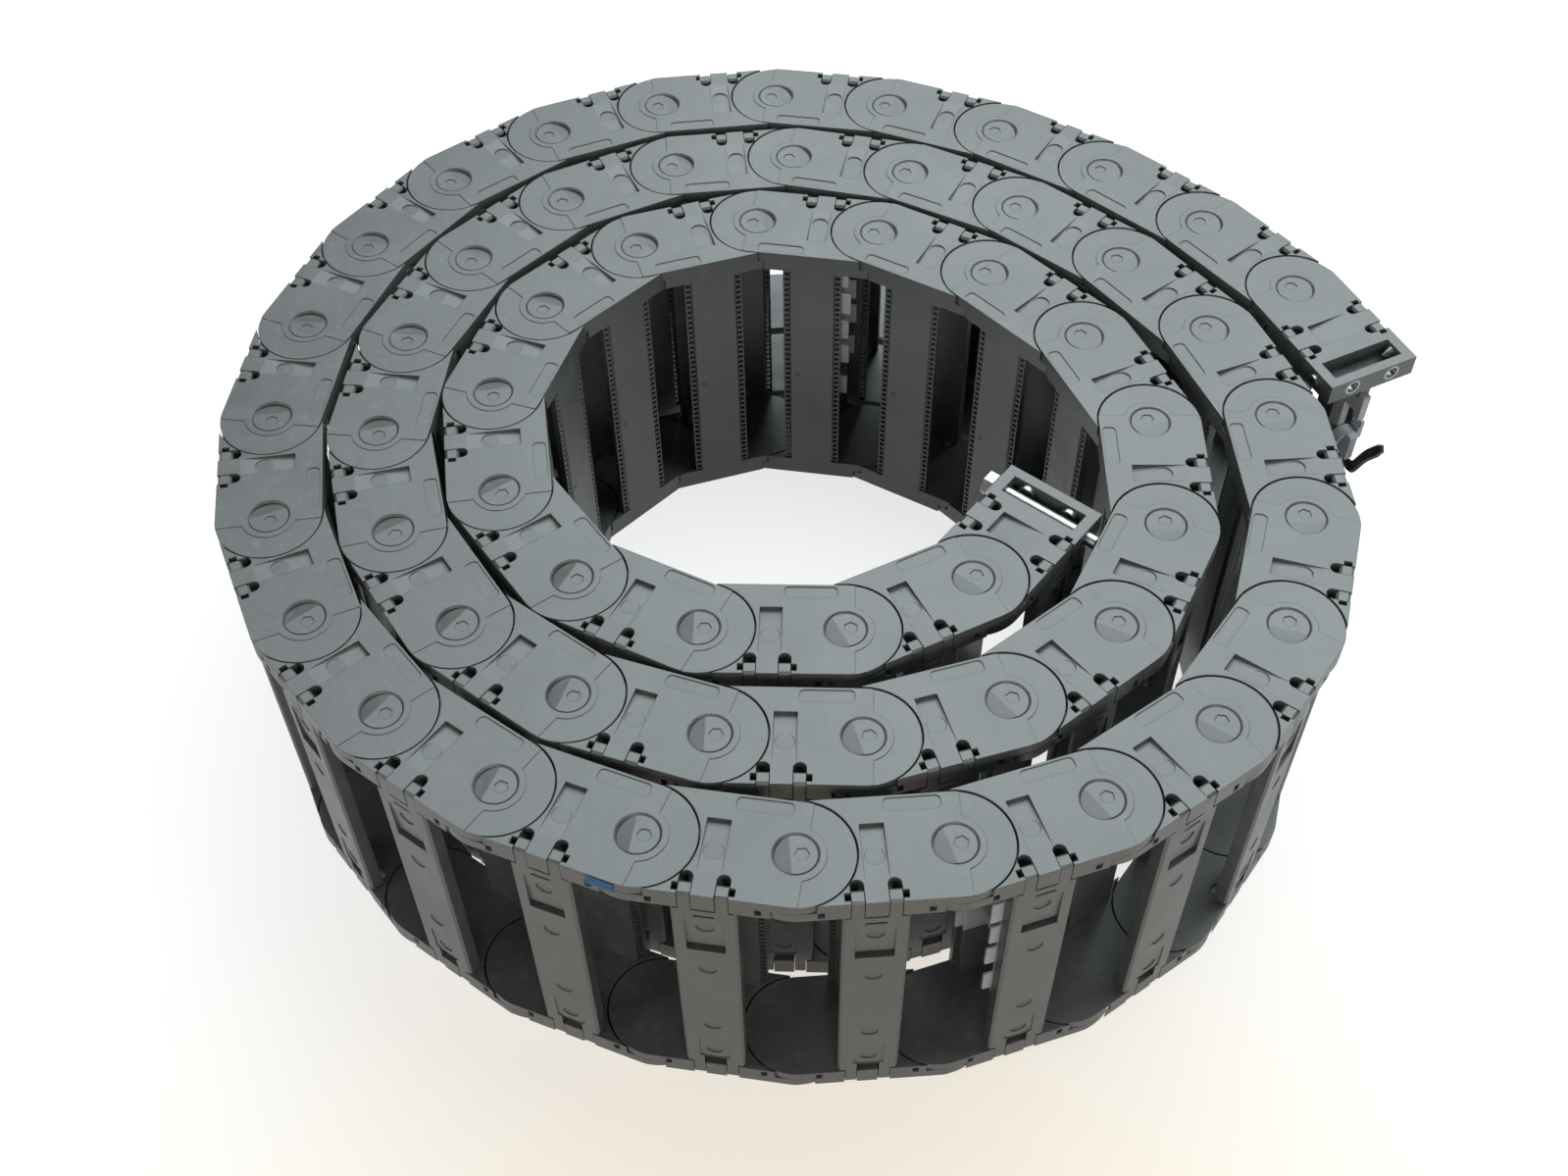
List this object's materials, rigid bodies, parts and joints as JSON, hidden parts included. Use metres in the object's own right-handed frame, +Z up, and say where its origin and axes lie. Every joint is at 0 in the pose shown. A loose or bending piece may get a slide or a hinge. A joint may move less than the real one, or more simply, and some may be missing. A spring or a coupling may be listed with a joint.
{
  "type": "cable drag chain",
  "caption": "Plastic cable drag chain lying on its side as a loose spiral coil, hinged links with clip-on lids and an end bracket at each end.",
  "frame": {"origin": "centre of the coil's bounding box, on the surface that the coil lies on", "axes": "+Z up along the hinge axes and the chain's width, +Y away from the side that the coil is usually seen from"},
  "size_m": [0.4168, 0.386, 0.119],
  "materials": {
    "chain_plastic": "moulded glass-filled plastic, semi-matt",
    "zinc_steel": "bright zinc-plated steel",
    "comb_plastic": "moulded light grey plastic"
  },
  "bodies": {
    "inner_bracket": {"inner_bracket": "chain_plastic", "inner_hardware": "zinc_steel"},
    "link_54": {"link_54": "chain_plastic"},
    "link_53": {"link_53": "chain_plastic"},
    "link_52": {"link_52": "chain_plastic"},
    "link_51": {"link_51": "chain_plastic"},
    "link_50": {"link_50": "chain_plastic"},
    "link_49": {"link_49": "chain_plastic"},
    "link_48": {"link_48": "chain_plastic"},
    "link_47": {"link_47": "chain_plastic"},
    "link_46": {"link_46": "chain_plastic"},
    "link_45": {"link_45": "chain_plastic"},
    "link_44": {"link_44": "chain_plastic"},
    "link_43": {"link_43": "chain_plastic"},
    "link_42": {"link_42": "chain_plastic"},
    "link_41": {"link_41": "chain_plastic"},
    "link_40": {"link_40": "chain_plastic"},
    "link_39": {"link_39": "chain_plastic"},
    "link_38": {"link_38": "chain_plastic"},
    "link_37": {"link_37": "chain_plastic"},
    "link_36": {"link_36": "chain_plastic"},
    "link_35": {"link_35": "chain_plastic"},
    "link_34": {"link_34": "chain_plastic"},
    "link_33": {"link_33": "chain_plastic"},
    "link_32": {"link_32": "chain_plastic"},
    "link_31": {"link_31": "chain_plastic"},
    "link_30": {"link_30": "chain_plastic"},
    "link_29": {"link_29": "chain_plastic"},
    "link_28": {"link_28": "chain_plastic"},
    "link_27": {"link_27": "chain_plastic"},
    "link_26": {"link_26": "chain_plastic"},
    "link_25": {"link_25": "chain_plastic"},
    "link_24": {"link_24": "chain_plastic"},
    "link_23": {"link_23": "chain_plastic"},
    "link_22": {"link_22": "chain_plastic"},
    "link_21": {"link_21": "chain_plastic"},
    "link_20": {"link_20": "chain_plastic"},
    "link_19": {"link_19": "chain_plastic"},
    "link_18": {"link_18": "chain_plastic"},
    "link_17": {"link_17": "chain_plastic"},
    "link_16": {"link_16": "chain_plastic"},
    "link_15": {"link_15": "chain_plastic"},
    "link_14": {"link_14": "chain_plastic"},
    "link_13": {"link_13": "chain_plastic"},
    "link_12": {"link_12": "chain_plastic"},
    "link_11": {"link_11": "chain_plastic"},
    "link_10": {"link_10": "chain_plastic"},
    "link_09": {"link_09": "chain_plastic"},
    "link_08": {"link_08": "chain_plastic"},
    "link_07": {"link_07": "chain_plastic"},
    "link_06": {"link_06": "chain_plastic"},
    "link_05": {"link_05": "chain_plastic"},
    "link_04": {"link_04": "chain_plastic"},
    "link_03": {"link_03": "chain_plastic"},
    "link_02": {"link_02": "chain_plastic"},
    "link_01": {"link_01": "chain_plastic"},
    "outer_bracket": {"outer_bracket": "chain_plastic", "outer_hardware": "zinc_steel", "strain_relief": "comb_plastic"},
    "openable_lid": {"openable_lid": "chain_plastic"}
  },
  "joints": [
    {"name": "hinge_26", "type": "hinge", "parent": "link_27", "child": "link_26", "pos_m": [0.07642, 0.10459, 0.0595], "axis": [0, 0, 1], "range_deg": [0, 12.79]},
    {"name": "hinge_25", "type": "hinge", "parent": "link_26", "child": "link_25", "pos_m": [0.111, 0.07425, 0.0595], "axis": [0, 0, 1], "range_deg": [0, 12.96]},
    {"name": "hinge_24", "type": "hinge", "parent": "link_25", "child": "link_24", "pos_m": [0.13788, 0.03693, 0.0595], "axis": [0, 0, 1], "range_deg": [0, 15.37]},
    {"name": "hinge_23", "type": "hinge", "parent": "link_24", "child": "link_23", "pos_m": [0.15391, -0.00619, 0.0595], "axis": [0, 0, 1], "range_deg": [0, 17.97]},
    {"name": "hinge_22", "type": "hinge", "parent": "link_23", "child": "link_22", "pos_m": [0.15586, -0.05215, 0.0595], "axis": [0, 0, 1], "range_deg": [0, 19.6]},
    {"name": "hinge_21", "type": "hinge", "parent": "link_22", "child": "link_21", "pos_m": [0.14228, -0.0961, 0.0595], "axis": [0, 0, 1], "range_deg": [0, 19.84]},
    {"name": "hinge_20", "type": "hinge", "parent": "link_21", "child": "link_20", "pos_m": [0.11459, -0.13283, 0.0595], "axis": [0, 0, 1], "range_deg": [0, 18.7]},
    {"name": "hinge_19", "type": "hinge", "parent": "link_20", "child": "link_19", "pos_m": [0.07659, -0.15875, 0.0595], "axis": [0, 0, 1], "range_deg": [0, 16.6]},
    {"name": "hinge_18", "type": "hinge", "parent": "link_19", "child": "link_18", "pos_m": [0.03277, -0.17273, 0.0595], "axis": [0, 0, 1], "range_deg": [0, 14.29]},
    {"name": "hinge_17", "type": "hinge", "parent": "link_18", "child": "link_17", "pos_m": [-0.01315, -0.17546, 0.0595], "axis": [0, 0, 1], "range_deg": [0, 12.84]},
    {"name": "hinge_16", "type": "hinge", "parent": "link_17", "child": "link_16", "pos_m": [-0.05853, -0.16792, 0.0595], "axis": [0, 0, 1], "range_deg": [0, 12.93]},
    {"name": "hinge_15", "type": "hinge", "parent": "link_16", "child": "link_15", "pos_m": [-0.10107, -0.15042, 0.0595], "axis": [0, 0, 1], "range_deg": [0, 14.07]},
    {"name": "hinge_14", "type": "hinge", "parent": "link_15", "child": "link_14", "pos_m": [-0.13808, -0.1231, 0.0595], "axis": [0, 0, 1], "range_deg": [0, 15.11]},
    {"name": "hinge_13", "type": "hinge", "parent": "link_14", "child": "link_13", "pos_m": [-0.16668, -0.08707, 0.0595], "axis": [0, 0, 1], "range_deg": [0, 15.46]},
    {"name": "hinge_12", "type": "hinge", "parent": "link_13", "child": "link_12", "pos_m": [-0.18465, -0.04473, 0.0595], "axis": [0, 0, 1], "range_deg": [0, 15.22]},
    {"name": "hinge_11", "type": "hinge", "parent": "link_12", "child": "link_11", "pos_m": [-0.19087, 0.00085, 0.0595], "axis": [0, 0, 1], "range_deg": [0, 14.85]},
    {"name": "hinge_10", "type": "hinge", "parent": "link_11", "child": "link_10", "pos_m": [-0.18519, 0.0465, 0.0595], "axis": [0, 0, 1], "range_deg": [0, 14.76]},
    {"name": "hinge_09", "type": "hinge", "parent": "link_10", "child": "link_09", "pos_m": [-0.16807, 0.0892, 0.0595], "axis": [0, 0, 1], "range_deg": [0, 15.06]},
    {"name": "hinge_08", "type": "hinge", "parent": "link_09", "child": "link_08", "pos_m": [-0.14045, 0.12598, 0.0595], "axis": [0, 0, 1], "range_deg": [0, 15.59]},
    {"name": "hinge_07", "type": "hinge", "parent": "link_08", "child": "link_07", "pos_m": [-0.10396, 0.15398, 0.0595], "axis": [0, 0, 1], "range_deg": [0, 15.97]},
    {"name": "hinge_06", "type": "hinge", "parent": "link_07", "child": "link_06", "pos_m": [-0.06117, 0.17087, 0.0595], "axis": [0, 0, 1], "range_deg": [0, 15.8]},
    {"name": "hinge_05", "type": "hinge", "parent": "link_06", "child": "link_05", "pos_m": [-0.0154, 0.17546, 0.0595], "axis": [0, 0, 1], "range_deg": [0, 14.83]},
    {"name": "hinge_04", "type": "hinge", "parent": "link_05", "child": "link_04", "pos_m": [0.03002, 0.16819, 0.0595], "axis": [0, 0, 1], "range_deg": [0, 13.07]},
    {"name": "hinge_03", "type": "hinge", "parent": "link_04", "child": "link_03", "pos_m": [0.07262, 0.15083, 0.0595], "axis": [0, 0, 1], "range_deg": [0, 11.04]},
    {"name": "hinge_02", "type": "hinge", "parent": "link_03", "child": "link_02", "pos_m": [0.11111, 0.12563, 0.0595], "axis": [0, 0, 1], "range_deg": [0, 9.81]},
    {"name": "hinge_01", "type": "hinge", "parent": "link_02", "child": "link_01", "pos_m": [0.14474, 0.09425, 0.0595], "axis": [0, 0, 1], "range_deg": [0, 10.21]},
    {"name": "outer_end_hinge", "type": "hinge", "parent": "link_01", "child": "outer_bracket", "pos_m": [0.17228, 0.0574, 0.0595], "axis": [0, 0, 1], "range_deg": [-3, 12.3]},
    {"name": "hinge_27", "type": "hinge", "parent": "link_27", "child": "link_28", "pos_m": [0.03599, 0.12653, 0.0595], "axis": [0, 0, -1], "range_deg": [0, 15.31]},
    {"name": "hinge_28", "type": "hinge", "parent": "link_28", "child": "link_29", "pos_m": [-0.0088, 0.13702, 0.0595], "axis": [0, 0, -1], "range_deg": [0, 18.32]},
    {"name": "hinge_29", "type": "hinge", "parent": "link_29", "child": "link_30", "pos_m": [-0.05461, 0.1329, 0.0595], "axis": [0, 0, -1], "range_deg": [0, 20.01]},
    {"name": "hinge_30", "type": "hinge", "parent": "link_30", "child": "link_31", "pos_m": [-0.09625, 0.11334, 0.0595], "axis": [0, 0, -1], "range_deg": [0, 20.16]},
    {"name": "hinge_31", "type": "hinge", "parent": "link_31", "child": "link_32", "pos_m": [-0.1286, 0.08064, 0.0595], "axis": [0, 0, -1], "range_deg": [0, 19.47]},
    {"name": "hinge_32", "type": "hinge", "parent": "link_32", "child": "link_33", "pos_m": [-0.1482, 0.03903, 0.0595], "axis": [0, 0, -1], "range_deg": [0, 18.95]},
    {"name": "hinge_33", "type": "hinge", "parent": "link_33", "child": "link_34", "pos_m": [-0.15322, -0.0067, 0.0595], "axis": [0, 0, -1], "range_deg": [0, 19.18]},
    {"name": "hinge_34", "type": "hinge", "parent": "link_34", "child": "link_35", "pos_m": [-0.14294, -0.05154, 0.0595], "axis": [0, 0, -1], "range_deg": [0, 19.8]},
    {"name": "hinge_35", "type": "hinge", "parent": "link_35", "child": "link_36", "pos_m": [-0.11808, -0.09024, 0.0595], "axis": [0, 0, -1], "range_deg": [0, 19.73]},
    {"name": "hinge_36", "type": "hinge", "parent": "link_36", "child": "link_37", "pos_m": [-0.08161, -0.11828, 0.0595], "axis": [0, 0, -1], "range_deg": [0, 18.29]},
    {"name": "hinge_37", "type": "hinge", "parent": "link_37", "child": "link_38", "pos_m": [-0.03818, -0.13345, 0.0595], "axis": [0, 0, -1], "range_deg": [0, 16.88]},
    {"name": "hinge_38", "type": "hinge", "parent": "link_38", "child": "link_39", "pos_m": [0.00778, -0.13537, 0.0595], "axis": [0, 0, -1], "range_deg": [0, 18.1]},
    {"name": "hinge_39", "type": "hinge", "parent": "link_39", "child": "link_40", "pos_m": [0.05206, -0.12291, 0.0595], "axis": [0, 0, -1], "range_deg": [0, 21.77]},
    {"name": "hinge_40", "type": "hinge", "parent": "link_40", "child": "link_41", "pos_m": [0.08856, -0.09491, 0.0595], "axis": [0, 0, -1], "range_deg": [0, 25.16]},
    {"name": "hinge_41", "type": "hinge", "parent": "link_41", "child": "link_42", "pos_m": [0.10969, -0.05405, 0.0595], "axis": [0, 0, -1], "range_deg": [0, 26.1]},
    {"name": "hinge_42", "type": "hinge", "parent": "link_42", "child": "link_43", "pos_m": [0.11069, -0.00807, 0.0595], "axis": [0, 0, -1], "range_deg": [0, 23.9]},
    {"name": "hinge_43", "type": "hinge", "parent": "link_43", "child": "link_44", "pos_m": [0.09297, 0.03438, 0.0595], "axis": [0, 0, -1], "range_deg": [0, 19.67]},
    {"name": "hinge_44", "type": "hinge", "parent": "link_44", "child": "link_45", "pos_m": [0.062, 0.06839, 0.0595], "axis": [0, 0, -1], "range_deg": [0, 17.34]},
    {"name": "hinge_45", "type": "hinge", "parent": "link_45", "child": "link_46", "pos_m": [0.0223, 0.09163, 0.0595], "axis": [0, 0, -1], "range_deg": [0, 20.8]},
    {"name": "hinge_46", "type": "hinge", "parent": "link_46", "child": "link_47", "pos_m": [-0.02307, 0.09924, 0.0595], "axis": [0, 0, -1], "range_deg": [0, 25.83]},
    {"name": "hinge_47", "type": "hinge", "parent": "link_47", "child": "link_48", "pos_m": [-0.06722, 0.08633, 0.0595], "axis": [0, 0, -1], "range_deg": [0, 27.63]},
    {"name": "hinge_48", "type": "hinge", "parent": "link_48", "child": "link_49", "pos_m": [-0.10035, 0.05441, 0.0595], "axis": [0, 0, -1], "range_deg": [0, 26.88]},
    {"name": "hinge_49", "type": "hinge", "parent": "link_49", "child": "link_50", "pos_m": [-0.11547, 0.01097, 0.0595], "axis": [0, 0, -1], "range_deg": [0, 26.57]},
    {"name": "hinge_50", "type": "hinge", "parent": "link_50", "child": "link_51", "pos_m": [-0.10956, -0.03465, 0.0595], "axis": [0, 0, -1], "range_deg": [0, 27.75]},
    {"name": "hinge_51", "type": "hinge", "parent": "link_51", "child": "link_52", "pos_m": [-0.08309, -0.07227, 0.0595], "axis": [0, 0, -1], "range_deg": [0, 27.57]},
    {"name": "hinge_52", "type": "hinge", "parent": "link_52", "child": "link_53", "pos_m": [-0.04221, -0.09337, 0.0595], "axis": [0, 0, -1], "range_deg": [0, 25.24]},
    {"name": "hinge_53", "type": "hinge", "parent": "link_53", "child": "link_54", "pos_m": [0.00376, -0.09502, 0.0595], "axis": [0, 0, -1], "range_deg": [0, 27.7]},
    {"name": "inner_end_hinge", "type": "hinge", "parent": "link_54", "child": "inner_bracket", "pos_m": [0.04523, -0.07512, 0.0595], "axis": [0, 0, -1], "range_deg": [0, 25]},
    {"name": "lid_hinge", "type": "hinge", "parent": "link_17", "child": "openable_lid", "pos_m": [-0.0395, -0.18639, 0.115], "axis": [-0.9865, 0.1639, 0], "range_deg": [0, 110]}
  ],
  "couplings": [
    {"joint": "hinge_03", "follows": "hinge_02", "ratio": 1.1245},
    {"joint": "hinge_04", "follows": "hinge_02", "ratio": 1.3318},
    {"joint": "hinge_05", "follows": "hinge_02", "ratio": 1.5113},
    {"joint": "hinge_06", "follows": "hinge_02", "ratio": 1.6101},
    {"joint": "hinge_07", "follows": "hinge_02", "ratio": 1.6268},
    {"joint": "hinge_08", "follows": "hinge_02", "ratio": 1.5882},
    {"joint": "hinge_09", "follows": "hinge_02", "ratio": 1.5349},
    {"joint": "hinge_10", "follows": "hinge_02", "ratio": 1.5038},
    {"joint": "hinge_11", "follows": "hinge_02", "ratio": 1.5134},
    {"joint": "hinge_12", "follows": "hinge_02", "ratio": 1.5508},
    {"joint": "hinge_13", "follows": "hinge_02", "ratio": 1.5753},
    {"joint": "hinge_14", "follows": "hinge_02", "ratio": 1.5399},
    {"joint": "hinge_15", "follows": "hinge_02", "ratio": 1.4336},
    {"joint": "hinge_16", "follows": "hinge_02", "ratio": 1.3177},
    {"joint": "hinge_17", "follows": "hinge_02", "ratio": 1.3079},
    {"joint": "hinge_18", "follows": "hinge_02", "ratio": 1.456},
    {"joint": "hinge_19", "follows": "hinge_02", "ratio": 1.6911},
    {"joint": "hinge_20", "follows": "hinge_02", "ratio": 1.9054},
    {"joint": "hinge_21", "follows": "hinge_02", "ratio": 2.0211},
    {"joint": "hinge_22", "follows": "hinge_02", "ratio": 1.9965},
    {"joint": "hinge_23", "follows": "hinge_02", "ratio": 1.831},
    {"joint": "hinge_24", "follows": "hinge_02", "ratio": 1.5662},
    {"joint": "hinge_25", "follows": "hinge_02", "ratio": 1.3205},
    {"joint": "hinge_26", "follows": "hinge_02", "ratio": 1.3027},
    {"joint": "hinge_27", "follows": "hinge_02", "ratio": 1.5599},
    {"joint": "hinge_28", "follows": "hinge_02", "ratio": 1.8666},
    {"joint": "hinge_29", "follows": "hinge_02", "ratio": 2.0386},
    {"joint": "hinge_30", "follows": "hinge_02", "ratio": 2.0537},
    {"joint": "hinge_31", "follows": "hinge_02", "ratio": 1.9842},
    {"joint": "hinge_32", "follows": "hinge_02", "ratio": 1.9311},
    {"joint": "hinge_33", "follows": "hinge_02", "ratio": 1.9538},
    {"joint": "hinge_34", "follows": "hinge_02", "ratio": 2.0178},
    {"joint": "hinge_35", "follows": "hinge_02", "ratio": 2.0101},
    {"joint": "hinge_36", "follows": "hinge_02", "ratio": 1.8637},
    {"joint": "hinge_37", "follows": "hinge_02", "ratio": 1.7198},
    {"joint": "hinge_38", "follows": "hinge_02", "ratio": 1.8442},
    {"joint": "hinge_39", "follows": "hinge_02", "ratio": 2.2181},
    {"joint": "hinge_40", "follows": "hinge_02", "ratio": 2.5639},
    {"joint": "hinge_41", "follows": "hinge_02", "ratio": 2.6596},
    {"joint": "hinge_42", "follows": "hinge_02", "ratio": 2.4355},
    {"joint": "hinge_43", "follows": "hinge_02", "ratio": 2.0038},
    {"joint": "hinge_44", "follows": "hinge_02", "ratio": 1.7671},
    {"joint": "hinge_45", "follows": "hinge_02", "ratio": 2.1197},
    {"joint": "hinge_46", "follows": "hinge_02", "ratio": 2.6316},
    {"joint": "hinge_47", "follows": "hinge_02", "ratio": 2.8155},
    {"joint": "hinge_48", "follows": "hinge_02", "ratio": 2.7386},
    {"joint": "hinge_49", "follows": "hinge_02", "ratio": 2.707},
    {"joint": "hinge_50", "follows": "hinge_02", "ratio": 2.8269},
    {"joint": "hinge_51", "follows": "hinge_02", "ratio": 2.8095},
    {"joint": "hinge_52", "follows": "hinge_02", "ratio": 2.5715},
    {"joint": "hinge_53", "follows": "hinge_02", "ratio": 2.8223},
    {"joint": "inner_end_hinge", "follows": "hinge_02", "ratio": 2.5472}
  ]
}
